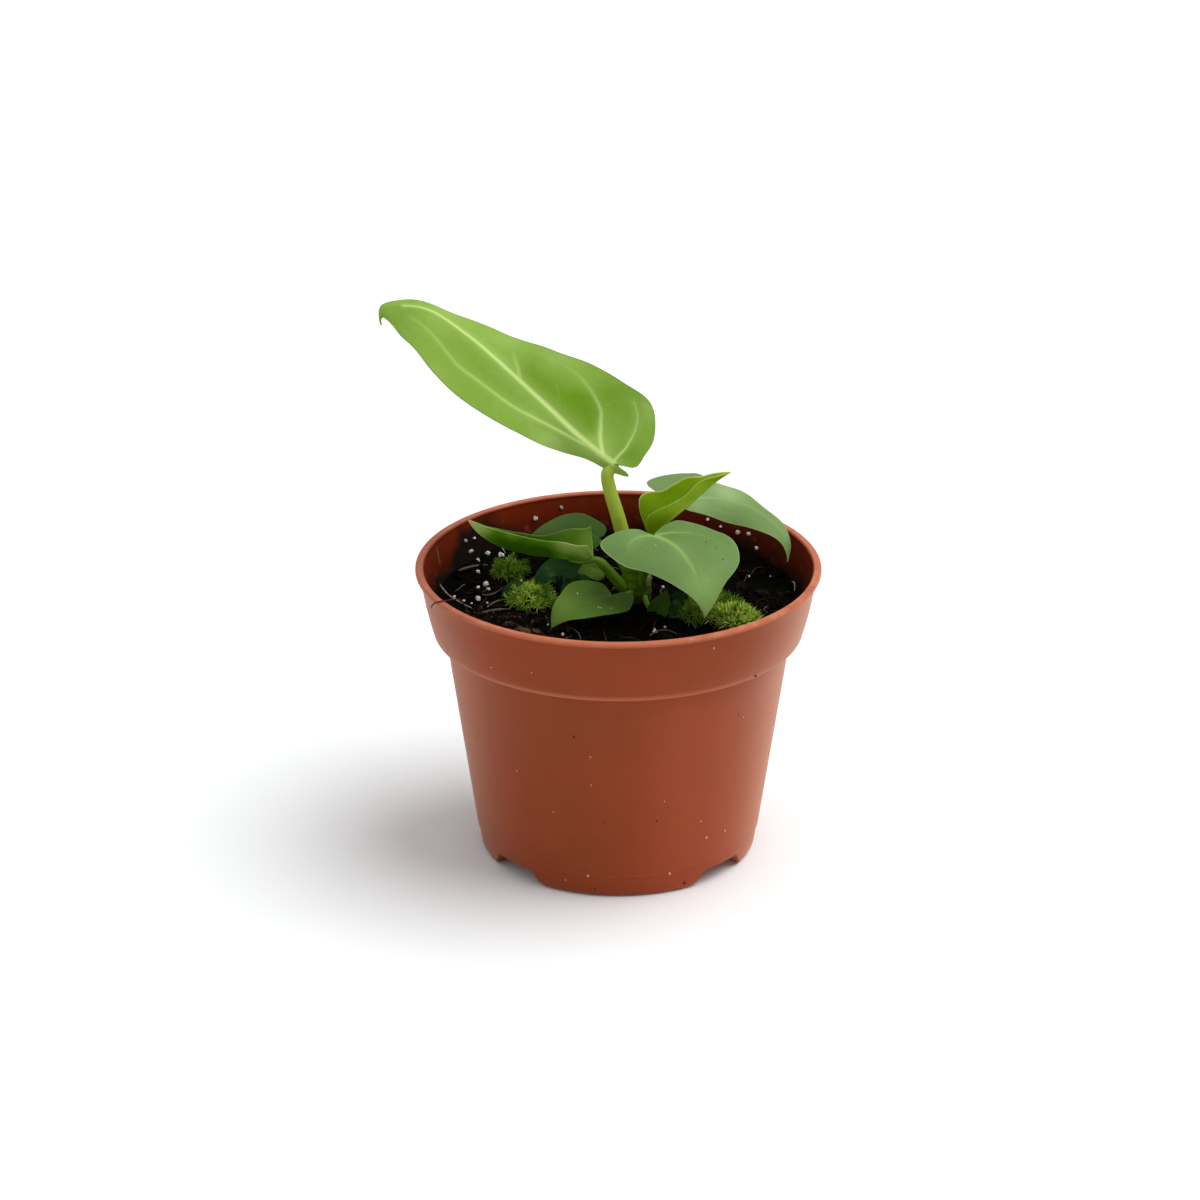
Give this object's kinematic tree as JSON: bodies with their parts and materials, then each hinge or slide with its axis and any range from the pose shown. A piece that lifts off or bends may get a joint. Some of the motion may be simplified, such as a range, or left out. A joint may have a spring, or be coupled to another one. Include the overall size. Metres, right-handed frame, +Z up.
{
  "type": "potted anthurium",
  "caption": "Young anthurium with a tall light-green leaf and low heart-shaped leaves, growing in soil in a round terracotta-coloured nursery pot.",
  "frame": {"origin": "centre of the pot's flat underside, on the surface that it stands on", "axes": "+Z up along the pot's axis, -Y toward the viewer of the picture, +X to the viewer's right"},
  "size_m": [0.1298, 0.12, 0.1649],
  "materials": {
    "pot_plastic": "moulded terracotta-coloured plastic, satin",
    "potting_soil": "dark crumbly potting mix",
    "crown_skin": "smooth living stem",
    "moss": "fine tufted moss",
    "tall_leaf_surface": "waxy living leaf",
    "young_leaf_surface": "waxy living leaf",
    "back_leaf_surface": "waxy living leaf",
    "front_leaf_surface": "waxy living leaf",
    "folded_leaf_surface": "waxy living leaf",
    "round_leaf_surface": "waxy living leaf",
    "small_leaf_surface": "waxy living leaf",
    "light_leaf_surface": "waxy living leaf",
    "low_leaf_surface": "waxy living leaf",
    "tiny_leaf_surface": "waxy living leaf"
  },
  "bodies": {
    "root": {"pot": "pot_plastic", "soil": "potting_soil", "crown": "crown_skin", "tall_leaf": "tall_leaf_surface", "young_leaf": "young_leaf_surface", "back_leaf": "back_leaf_surface", "front_leaf": "front_leaf_surface", "folded_leaf": "folded_leaf_surface", "round_leaf": "round_leaf_surface", "small_leaf": "small_leaf_surface", "light_leaf": "light_leaf_surface", "low_leaf": "low_leaf_surface", "tiny_leaf": "tiny_leaf_surface", "moss_left": "moss", "moss_back": "moss", "moss_right": "moss", "moss_middle": "moss"}
  },
  "joints": []
}
